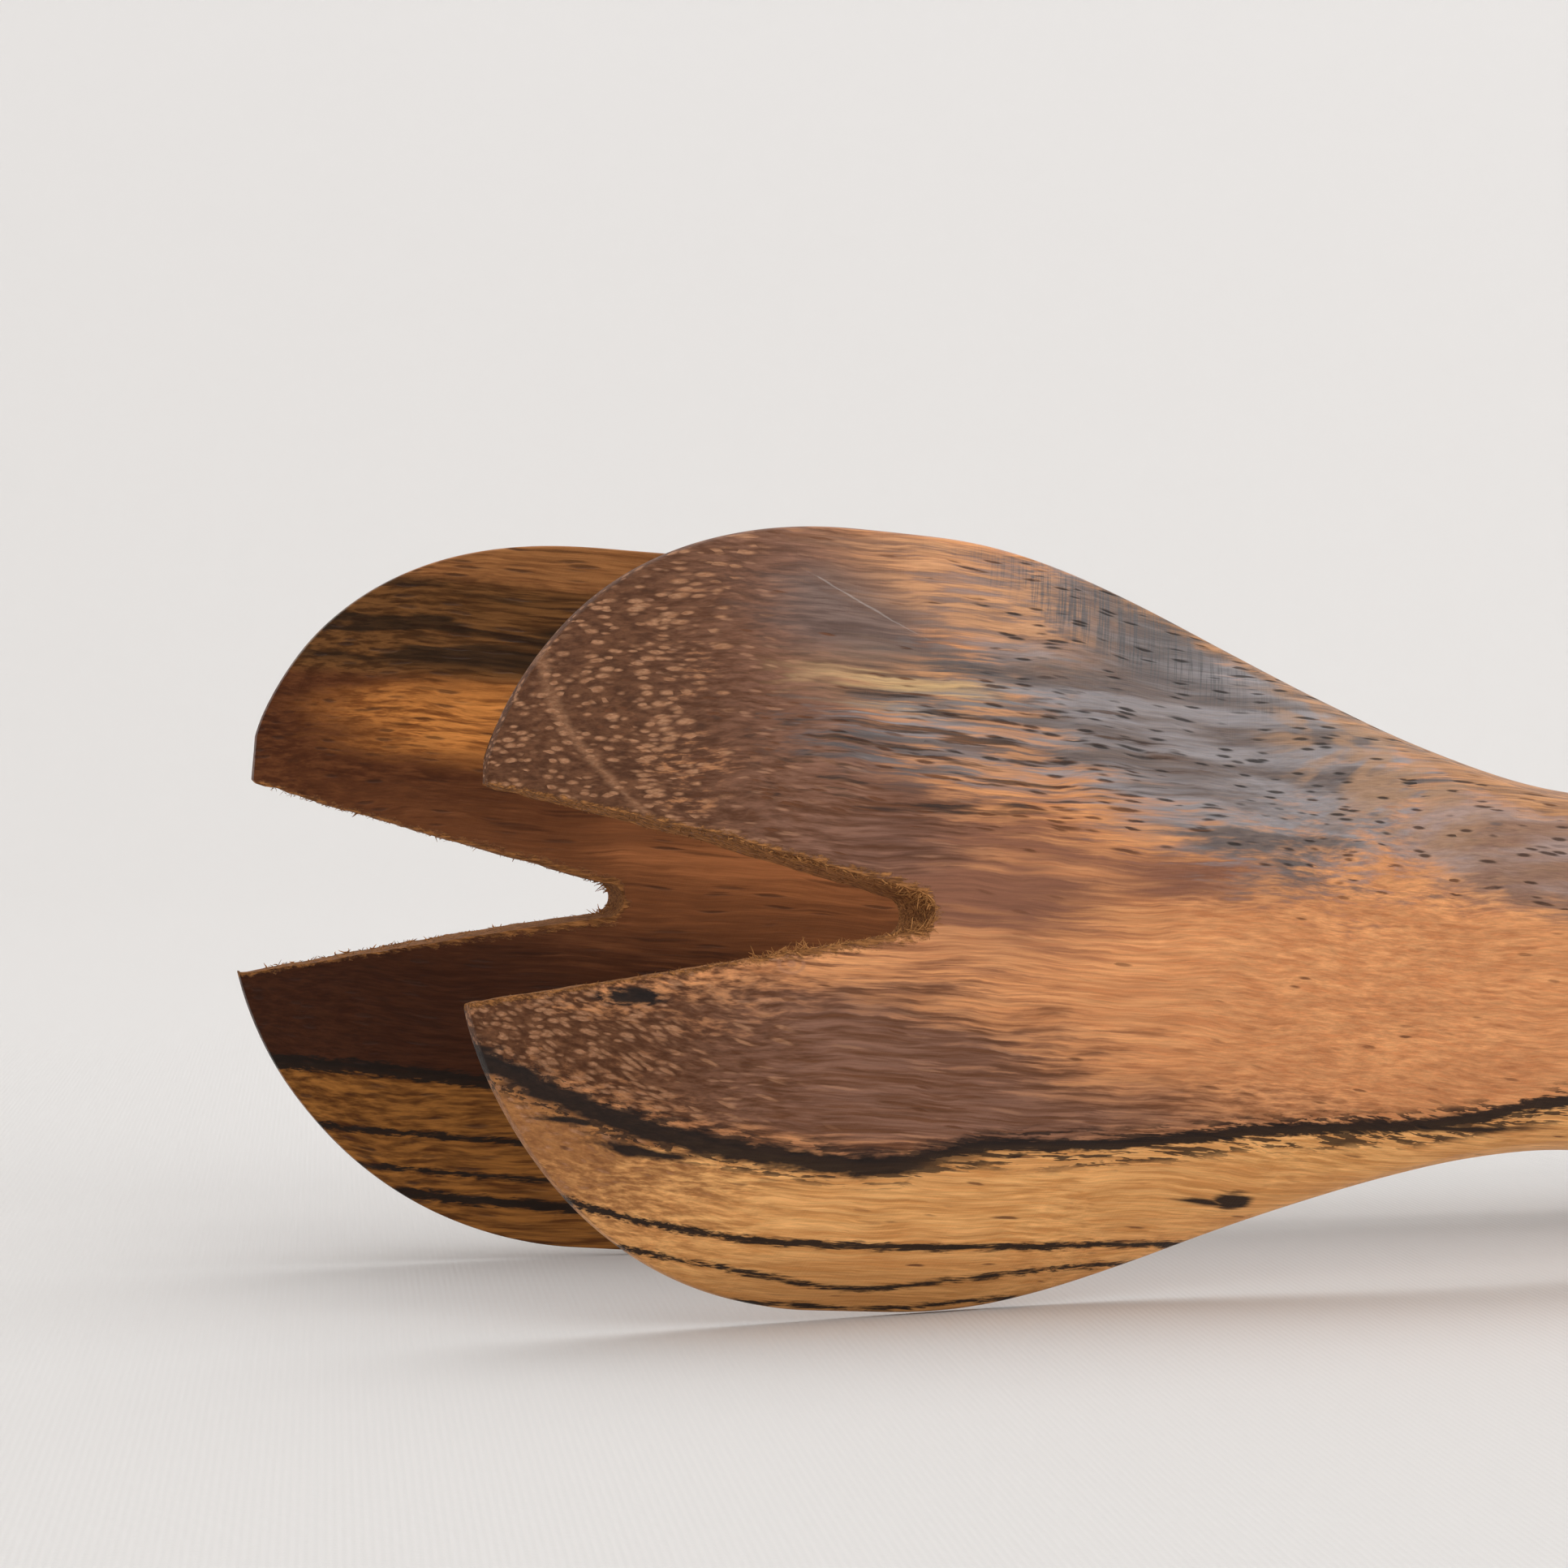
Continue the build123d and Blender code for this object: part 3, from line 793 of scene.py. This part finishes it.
def stations():
    """Places along the arm: close together in the blade, closest round the notch's root."""
    root_x = NOTCH_END - NOTCH_ROOT
    xs = [TIP_X, TIP_X + 0.08, TIP_X + 0.25, TIP_X + 0.5]
    xs += spaced(TIP_X + 0.9, root_x, 0.5)
    xs += [root_x + NOTCH_ROOT * math.sin(math.pi / 2 * k / 10) for k in range(10)]
    xs += spaced(NOTCH_END, NOTCH_END + 4, 0.5)
    xs += spaced(NOTCH_END + 4, NECK_X, 0.85)
    xs += spaced(NECK_X, STRAIGHT_X, 1.9)
    xs += spaced(STRAIGHT_X, SEAT_X, 1.0)
    xs += [SEAT_X - 0.0005, SEAT_X + 0.0005]
    xs += spaced(SEAT_X + 1, BUTT_X - BUTT_BACK, 1.2)
    xs += spaced(BUTT_X - BUTT_BACK, BUTT_X - 1, 0.5)
    xs += spaced(BUTT_X - 1, BUTT_X, 0.2) + [BUTT_X]
    return xs


def tip_inset(x):
    """The tips' ends are eased: their sections shrink a little over the last half millimetre."""
    return mix(0.87, 1.0, math.sqrt(clamp((x - TIP_X) / 0.5)))


def carve(arm, x, y, z):
    """What hand work leaves on a surface: slow waves, out of true by a few tenths."""
    fade = 1 - ease((x + 60) / 35)
    place = Vector((x / 26, y / 20 + 5 * arm.side, z / 16))
    return fade * (0.22 * noise.noise(place) + 0.05 * noise.noise(place * 3.1))


def build_arm(name, arm):
    """One arm as a closed mesh, in rows that follow its length."""
    mesh = bmesh.new()
    rows = []
    for x in stations():
        row = {}
        for up in (1, -1):
            loop = half_loop(arm, x, up)
            parts = [loop, wall_line(x, up, loop) if x <= NOTCH_END else []]
            if x < TIP_X + 0.6:
                ring = sum(parts, [])
                centre = sum(ring, Vector((0, 0))) / len(ring)
                parts = [[centre.lerp(p, tip_inset(x)) for p in part] for part in parts]
            row[up] = [[mesh.verts.new((x, *p)) for p in part] for part in parts]
        rows.append((x, row))
    sharp = []
    for (x0, a), (x1, b) in zip(rows, rows[1:]):
        for up in (1, -1):
            loop_a, wall_a = a[up]
            loop_b, wall_b = b[up]
            if x1 <= NOTCH_END:
                ring_a = loop_a + wall_a + loop_a[:1]
                ring_b = loop_b + wall_b + loop_b[:1]
                sharp += [(loop_a[0], loop_b[0]), (loop_a[-1], loop_b[-1])]
            else:
                ring_a, ring_b = loop_a, loop_b
            for k in range(len(ring_a) - 1):
                corners = [ring_a[k], ring_a[k + 1], ring_b[k + 1], ring_b[k]]
                mesh.faces.new(corners if up > 0 else corners[::-1])
    for up in (1, -1):
        loop, wall = rows[0][1][up]
        end = loop + wall
        mesh.faces.new(end[::-1] if up > 0 else end)
    upper, lower = rows[-1][1][1][0], rows[-1][1][-1][0]
    mesh.faces.new(upper + lower[::-1])
    for pair in sharp:
        edge = mesh.edges.get(pair)
        if edge:
            edge.smooth = False
    bmesh.ops.remove_doubles(mesh, verts=mesh.verts, dist=1e-4)
    bmesh.ops.dissolve_degenerate(mesh, edges=mesh.edges, dist=1e-5)
    bmesh.ops.recalc_face_normals(mesh, faces=mesh.faces)
    mesh.normal_update()
    moves = [(v, v.normal * carve(arm, *v.co)) for v in mesh.verts]
    for v, move in moves:
        v.co += move
    for face in mesh.faces:
        face.smooth = True
    for edge in mesh.edges:
        if len(edge.link_faces) == 2 and edge.calc_face_angle(0) > math.radians(50):
            edge.smooth = False
    return new_piece(name, mesh)


def bar(mesh, x, y0, y1, z, radius):
    """Adds a round bar along Y to a mesh."""
    bmesh.ops.create_cone(
        mesh, cap_ends=True, segments=64, radius1=radius, radius2=radius, depth=y1 - y0,
        matrix=Matrix.Translation((x, (y0 + y1) / 2, z)) @ Matrix.Rotation(math.pi / 2, 4, "X"),
    )


def bore_arm(piece):
    """Cuts the spring cup's bore and the two dowel holes."""
    mesh = bmesh.new()
    bar(mesh, SPRING_X, HANDLE_IN - 1, HANDLE_IN + CUP_DEPTH, 0, CUP_BORE)
    for z in (DOWEL_Z, -DOWEL_Z):
        bar(mesh, DOWEL_X, SEAT_Y - 1, DOWEL_END, z, DOWEL_R)
    cutter = new_piece("bores", mesh)
    cut = piece.modifiers.new("bores", "BOOLEAN")
    cut.operation = "DIFFERENCE"
    cut.solver = "EXACT"
    cut.object = cutter
    shaped = piece.evaluated_get(bpy.context.evaluated_depsgraph_get())
    result = bpy.data.meshes.new_from_object(shaped)
    piece.modifiers.clear()
    piece.data = result
    bpy.data.objects.remove(cutter)
    return piece


def to_rest(data, arm):
    """Moves a mesh from the arm's closed pose to its rest."""
    data.transform(arm_place(arm.side))
    if arm.side < 0:
        data.flip_normals()


def place_arm(piece, arm):
    """Keeps each point's place in the wood as wood_place, and moves the arm to its rest."""
    data = piece.data
    cuts = []
    for v in data.vertices:
        x, y, z = v.co
        across = (z - arm.drop) * math.cos(arm.tilt) - y * math.sin(arm.tilt)
        gap = abs(across) - notch_half(x) if x < NOTCH_END else math.hypot(x - NOTCH_END, across)
        cuts.append(1 - clamp((gap - 0.2) / 0.6))
    keep(data, "wood_place", "FLOAT_VECTOR", [tuple(v.co) for v in data.vertices])
    keep(data, "saw_cut", "FLOAT", cuts)
    to_rest(data, arm)
    data.update()
    return piece


def make_arm(name, arm, body, node, wood):
    piece = place_arm(bore_arm(build_arm(name, arm)), arm)
    piece.data.materials.append(wood)
    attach(piece, body)
    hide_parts(node)
    return piece


# ---- Finishes of the small parts ----

def millimetres(n):
    """Places in the frame at rest, in millimetres. They stay with the part when it moves."""
    place = n.result(n.node("ShaderNodeTexCoord"), output="Object")
    return n.vectors("MULTIPLY", place, (1000.0, 1000.0, 1000.0))


def block_wood():
    """Dark heartwood of the hinge blocks, with its grain along the tool."""
    n = Finish("hinge_block_wood")
    place = millimetres(n)
    x, y, z = n.split(place)
    sway = n.noise(n.join(x * 0.05, y * 0.1, z * 0.1)) - 0.5
    place = n.join(x, y + sway * 3.0, z + sway * 4.0)
    broad = n.use(GRAIN, place=place, length=26.0, width=1.6, seed=2.0)
    fine = n.use(GRAIN, place=place, length=7.0, width=0.35, seed=4.0)
    pores = n.use(PORES, place=place, length=5.0, width=0.5, size=0.38, amount=0.45, seed=6.0)
    colour = n.blend(fine, (0.20, 0.078, 0.032), (0.36, 0.15, 0.06))
    colour = n.blend(broad * 0.6, colour, (0.085, 0.033, 0.016))
    colour = n.blend(pores * 0.7, colour, (0.035, 0.015, 0.008))
    rough = 0.38 + (fine * 0.08 + pores * 0.25)
    return n.done(colour, rough, fine * 0.4 - pores * 0.9, 5e-05, specular=0.35)


def end_grain(name, light, dark):
    """Wood cut across: growth rings, fine rays and open pores."""
    n = Finish(name)
    place = millimetres(n)
    x, y, z = n.split(place)
    sway = n.noise(place, 0.25)
    ring = n.maths("SINE", (x + y * 0.6) * 5.0 + sway * 9.0)
    ring = n.step(ring, -0.8, 0.9)
    rays = n.step(n.noise(n.join(x * 0.8, y * 7.0, z)), 0.45, 0.7)
    pores = n.use(PORES, place=place, length=0.5, width=0.5, size=0.32, amount=0.6, seed=3.0)
    colour = n.blend(ring, light, dark)
    colour = n.blend(rays * 0.3, colour, light)
    colour = n.blend(pores * 0.75, colour, (0.06, 0.03, 0.014))
    return n.done(colour, 0.48 + pores * 0.3, ring * 0.3 - pores, 5e-05)


def turned_metal(name, colour, tarnish, rough, axis):
    """Metal turned about X, Y or Z: fine tool lines, a thin tarnish, light scratches."""
    n = Finish(name)
    place = millimetres(n)
    along = n.split(place)["XYZ".index(axis)]
    lines = n.noise(n.join(along * 9.0, 0.0, 0.0), 1.0, 3.0, 0.7)
    cloud = n.step(n.noise(place, 0.7, 3.0, 0.6), 0.4, 0.7)
    scratch = n.use(SCRATCHES, place=place, turn=0.7, spacing=0.12, seed=9.0)
    colour = n.blend(cloud * 0.45, colour, tarnish)
    rough = rough + (cloud * 0.14 + (lines * 0.1 + scratch * 0.08))
    return n.done(colour, rough, lines - scratch * 0.4, 1.2e-05, metallic=1.0)


def drawn_wire():
    """Spring wire: die lines along the wire and a faint straw tint from tempering."""
    n = Finish("spring_wire")
    around = n.attribute("wire_place", "Vector")
    along, turn, _ = n.split(around)
    lines = n.noise(n.join(along * 0.15, turn * 6.0, 0.0), 1.0, 2.0, 0.6)
    tint = n.step(n.noise(n.join(along * 0.1, turn, 3.0)), 0.35, 0.7)
    colour = n.blend(tint * 0.5, (0.56, 0.56, 0.57), (0.5, 0.45, 0.38))
    return n.done(colour, 0.22 + lines * 0.16, lines, 1.2e-05, metallic=1.0)


def torn_fibre():
    """Dry fibres that the saw tore: pale tan to brown, each its own shade."""
    n = Finish("torn_fibre")
    shade = n.attribute("fibre_shade", "Fac")
    mottle = n.noise(millimetres(n), 1.6, 2.0, 0.6)
    colour = n.blend(shade, (0.15, 0.058, 0.018), (0.58, 0.27, 0.088))
    colour = n.blend(n.step(mottle, 0.45, 0.75) * 0.5, colour, (0.16, 0.065, 0.022))
    return n.done(colour, 0.75 + mottle * 0.2, mottle, 3e-05, specular=0.2)


def finish_fittings():
    """The CAD parts whose shapes stay get their finishes."""
    wood = block_wood()
    dowel = end_grain("dowel_wood", (0.62, 0.42, 0.22), (0.48, 0.29, 0.13))
    plug = end_grain("plug_wood", (0.52, 0.30, 0.13), (0.30, 0.14, 0.055))
    steel = turned_metal("pin_steel", (0.60, 0.60, 0.60), (0.44, 0.42, 0.40), 0.2, "Z")
    yellow, tarnish = (0.78, 0.56, 0.25), (0.48, 0.30, 0.13)
    brass = turned_metal("washer_brass", yellow, tarnish, 0.24, "Z")
    cup_brass = turned_metal("cup_brass", yellow, tarnish, 0.24, "Y")
    finishes = (
        (wood, "front_hinge_block rear_hinge_block"),
        (dowel, "front_dowel_upper front_dowel_lower rear_dowel_upper rear_dowel_lower"),
        (plug, "upper_pin_plug lower_pin_plug"),
        (steel, "hinge_pin"),
        (brass, "hinge_bush upper_washer lower_washer"),
        (cup_brass, "front_spring_cup rear_spring_cup"),
    )
    for finish, name in ((finish, name) for finish, names in finishes for name in names.split()):
        materials = frame["nodes"][name].data.materials
        if not materials:
            materials.append(finish)
        for k in range(len(materials)):
            materials[k] = finish


# ---- The spring, and the fibres torn by the saw ----

def sweep_tube(mesh, points, radii, sides):
    """Adds a round tube along the points, with flat ends. Returns its rings of vertices."""
    rings = []
    across = None
    for k, point in enumerate(points):
        ahead = points[min(k + 1, len(points) - 1)] - points[max(k - 1, 0)]
        ahead.normalize()
        if across is None:
            across = ahead.orthogonal()
        across = (across - ahead * across.dot(ahead)).normalized()
        other = ahead.cross(across)
        turns = [2 * math.pi * s / sides for s in range(sides)]
        outs = [across * math.cos(t) + other * math.sin(t) for t in turns]
        ring = [mesh.verts.new(point + out * radii[k]) for out in outs]
        if rings:
            last = rings[-1]
            for s in range(sides):
                t = (s + 1) % sides
                mesh.faces.new((last[s], last[t], ring[t], ring[s])).smooth = True
        rings.append(ring)
    mesh.faces.new(rings[0][::-1])
    mesh.faces.new(rings[-1])
    return rings


def spring_points(steps_per_turn):
    """Middle of the wire at rest, upright on the hinge axis: a helix on a slightly bent axis."""
    seat = HANDLE_IN + CUP_DEPTH - CUP_WALL - SPRING_GAP
    bend_radius = -SPRING_X + seat / math.tan(OPEN)
    centre = (bend_radius + SPRING_X) * math.cos(OPEN) + seat * math.sin(OPEN)
    length = 2 * OPEN * bend_radius - WIRE
    turns = SPRING_TURNS + 2
    lead = (length - 2 * WIRE) / SPRING_TURNS
    points = []
    for k in range(round(steps_per_turn * turns) + 1):
        turn = k / steps_per_turn
        closed_turns = min(turn, 1) + max(turn - turns + 1, 0)
        rise = WIRE * closed_turns + lead * min(max(turn - 1, 0), SPRING_TURNS)
        bend = (rise - length / 2) / bend_radius
        out = bend_radius - SPRING_R * math.cos(2 * math.pi * turn)
        height = SPRING_R * math.sin(2 * math.pi * turn)
        points.append(Vector((centre - out * math.cos(bend), out * math.sin(bend), height)))
    return points


def make_spring():
    """The wire starts in the front cup and ends in the rear one; its axis is bent to the arms'
    opening at rest.
    """
    mesh = bmesh.new()
    points = spring_points(36)
    sides = 16
    sweep_tube(mesh, points, [WIRE / 2] * len(points), sides)
    places = []
    along = 0.0
    for k in range(len(points)):
        along += (points[k] - points[k - 1]).length if k else 0.0
        places += [(along, math.sin(2 * math.pi * s / sides), 0) for s in range(sides)]
    for edge in mesh.edges:
        if edge.calc_face_angle(0) > 1.2:
            edge.smooth = False
    piece = new_piece("coil_spring_wire", mesh)
    data = piece.data
    keep(data, "wire_place", "FLOAT_VECTOR", places)
    upright = Matrix.Translation(HINGE) @ Matrix.Rotation(LEAN, 4, "Y")
    data.transform(upright @ Matrix.Diagonal((MM, MM, MM, 1)))
    data.materials.append(drawn_wire())
    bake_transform(piece)
    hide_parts("coil_spring")


def notch_edge(arm, x, up, depth):
    """A point on the notch's wall: depth is 0 at the inner face and 1 at the outer face."""
    inner = settle_split(inner_y, arm, x, up)
    outer = settle_split(outer_y, arm, x, up)
    return Vector((x, mix(inner[0], outer[0], depth), mix(inner[1], outer[1], depth)))


def fibre(mesh, layer, root, lean, length, radius, shade, rng):
    """One torn fibre: a thin tapered tube that curls a little."""
    curl = Vector((rng.uniform(-1, 1), rng.uniform(-0.5, 0.5), rng.uniform(-1, 1))) * 0.45
    steps = (-0.25, 0.1, 0.4, 0.7, 1.0)
    points = [root + lean * (length * t) + curl * (length * t * t) for t in steps]
    radii = [radius * taper for taper in (1.0, 1.0, 0.85, 0.6, 0.25)]
    for ring in sweep_tube(mesh, points, radii, 5):
        for vert in ring:
            vert[layer] = shade


def make_fibres(name, arm, body, seed, clumps, finish):
    """Fibres along the notch's edges. clumps are (x, up, spread, count, length) of the tufts."""
    rng = random.Random(seed)
    mesh = bmesh.new()
    layer = mesh.verts.layers.float.new("fibre_shade")
    for _ in range(420):
        x = mix(TIP_X + 2, NOTCH_END - 0.6, rng.random() ** 0.7)
        up = rng.choice((1, -1))
        root = notch_edge(arm, x, up, rng.choice((rng.uniform(0.75, 1.0), rng.uniform(0.05, 1.0))))
        lean = rng.uniform(-1.2, 1.2), rng.uniform(-0.1, 0.5), -up * rng.uniform(0.15, 0.7)
        size, radius, shade = rng.uniform(0.12, 0.34), rng.uniform(0.02, 0.04), rng.random() * 0.6
        fibre(mesh, layer, root, Vector(lean).normalized(), size, radius, shade, rng)
    for centre, side, spread, count, length in clumps:
        for _ in range(count):
            x = min(NOTCH_END - 0.15, centre + rng.gauss(0, spread))
            up = side or rng.choice((1, -1))
            root = notch_edge(arm, x, up, 1 - min(0.9, abs(rng.gauss(0, 0.16))))
            lean = rng.uniform(-1.3, 0.9), rng.uniform(0.0, 0.6), -up * rng.uniform(-0.3, 0.7)
            size, shade = length * rng.uniform(0.4, 1.2), rng.uniform(0.35, 1.0)
            radius = rng.uniform(0.03, 0.075)
            fibre(mesh, layer, root, Vector(lean).normalized(), size, radius, shade, rng)
    piece = new_piece(name, mesh)
    to_rest(piece.data, arm)
    piece.data.materials.append(finish)
    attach(piece, body)


make_arm("front_arm_carved", FRONT, "front_half", "front_arm", front_wood())
make_arm("rear_arm_carved", REAR, "rear_half", "rear_arm", rear_wood())
torn = torn_fibre()
make_fibres("front_notch_fibres", FRONT, "front_half", 11, [
    (NOTCH_END - 0.8, 0, 0.5, 190, 1.1), (NOTCH_END - 3.0, 0, 1.2, 90, 0.7),
    (-251.5, -1, 1.1, 110, 0.9), (-246.5, -1, 1.3, 60, 0.6), (-249.0, 1, 4.0, 70, 0.45),
], torn)
make_fibres("rear_notch_fibres", REAR, "rear_half", 12, [
    (NOTCH_END - 0.8, 0, 0.5, 90, 0.7), (-252.0, 0, 9.0, 120, 0.4),
], torn)
make_spring()
finish_fittings()


# ---- Floor, light and camera ----

def backdrop():
    """A pale cloth floor that turns up all round into a wall."""
    mesh = bmesh.new()
    bend = 1.1
    profile = [(r, 0.0) for r in (0.3, 0.6, 0.95)]
    profile += [
        (0.95 + bend * math.sin(a), bend * (1 - math.cos(a)))
        for a in (math.pi / 2 * k / 16 for k in range(1, 17))
    ]
    profile.append((0.95 + bend, 2.4))
    count = 96
    turns = [2 * math.pi * k / count for k in range(count)]
    rings = [[mesh.verts.new((0, 0, 0))] * count]
    for r, z in profile:
        ring = [mesh.verts.new((r * math.cos(t), r * math.sin(t), z)) for t in turns]
        for k in range(count):
            after = (k + 1) % count
            corners = rings[-1][k], ring[k], ring[after], rings[-1][after]
            mesh.faces.new(list(dict.fromkeys(corners)))
        rings.append(ring)
    for face in mesh.faces:
        face.smooth = True
    piece = new_piece("backdrop", mesh)
    piece.data.materials.append(backdrop_cloth())


def backdrop_cloth():
    """Pale cloth with a fine weave near the tongs, a little lighter up the wall."""
    n = Finish("backdrop_cloth")
    place = n.result(n.node("ShaderNodeTexCoord"), output="Object")
    x, y, z = n.split(place)
    wale = n.maths("SINE", (x + y * 0.35) * 8500.0)
    weft = n.maths("SINE", (y - x * 0.35) * 6500.0)
    near = n.step(n.maths("SQRT", x * x + y * y), 0.45, 0.25)
    weave = wale * weft * near
    cloud = n.noise(place, 3.0)
    cloth = n.blend(n.step(z, 0.0, 0.9), FLOOR_CLOTH, WALL_CLOTH)
    cloth = n.blend(n.step(weave, -1.0, 1.0) * 0.03, cloth, (0.55, 0.53, 0.52))
    cloth = n.blend(cloud * 0.04, cloth, (0.62, 0.6, 0.57))
    return n.done(cloth, 0.85 + cloud * 0.1, weave, 2e-05, specular=0.1)


def aim(name, data, place, ahead):
    """Adds a lamp or the camera at a place, looking along ahead."""
    thing = bpy.data.objects.new(name, data)
    thing.location = place
    thing.rotation_mode = "QUATERNION"
    thing.rotation_quaternion = ahead.to_track_quat("-Z", "Y")
    bpy.context.scene.collection.objects.link(thing)
    return thing


def area_light(name, place, target, size, power):
    light = bpy.data.lights.new(name, "AREA")
    light.shape = "DISK"
    light.size = size
    light.energy = power
    aim(name, light, place, Vector(target) - Vector(place)).visible_camera = False


def make_world():
    world = bpy.data.worlds.new("studio")
    world.use_nodes = True
    sky = world.node_tree.nodes["Background"].inputs
    sky["Color"].default_value = (1.0, 0.985, 0.975, 1)
    sky["Strength"].default_value = 0.9
    bpy.context.scene.world = world


def make_camera():
    """Stands close in front of the blades, a little above the table, and sees only the head."""
    data = bpy.data.cameras.new("camera")
    data.sensor_width = 36
    data.lens = 115.5
    data.clip_start, data.clip_end = 0.01, 20
    turn, pitch = math.radians(23.33), math.radians(0.74)
    level = math.cos(pitch)
    ahead = Vector((math.sin(turn) * level, math.cos(turn) * level, -math.sin(pitch)))
    place = HINGE + Vector((-0.4051, -0.3977, 0.0344))
    bpy.context.scene.camera = aim("camera", data, place, ahead)


backdrop()
make_world()
area_light("overhead", (0.9, 0.6, 2.1), (-0.1, 0, 0.03), 2.4, 22)
area_light("front_fill", (-0.1, -1.9, 0.75), (-0.1, 0, 0.03), 1.8, 17.5)
make_camera()
bpy.context.scene.view_settings.view_transform = "Standard"
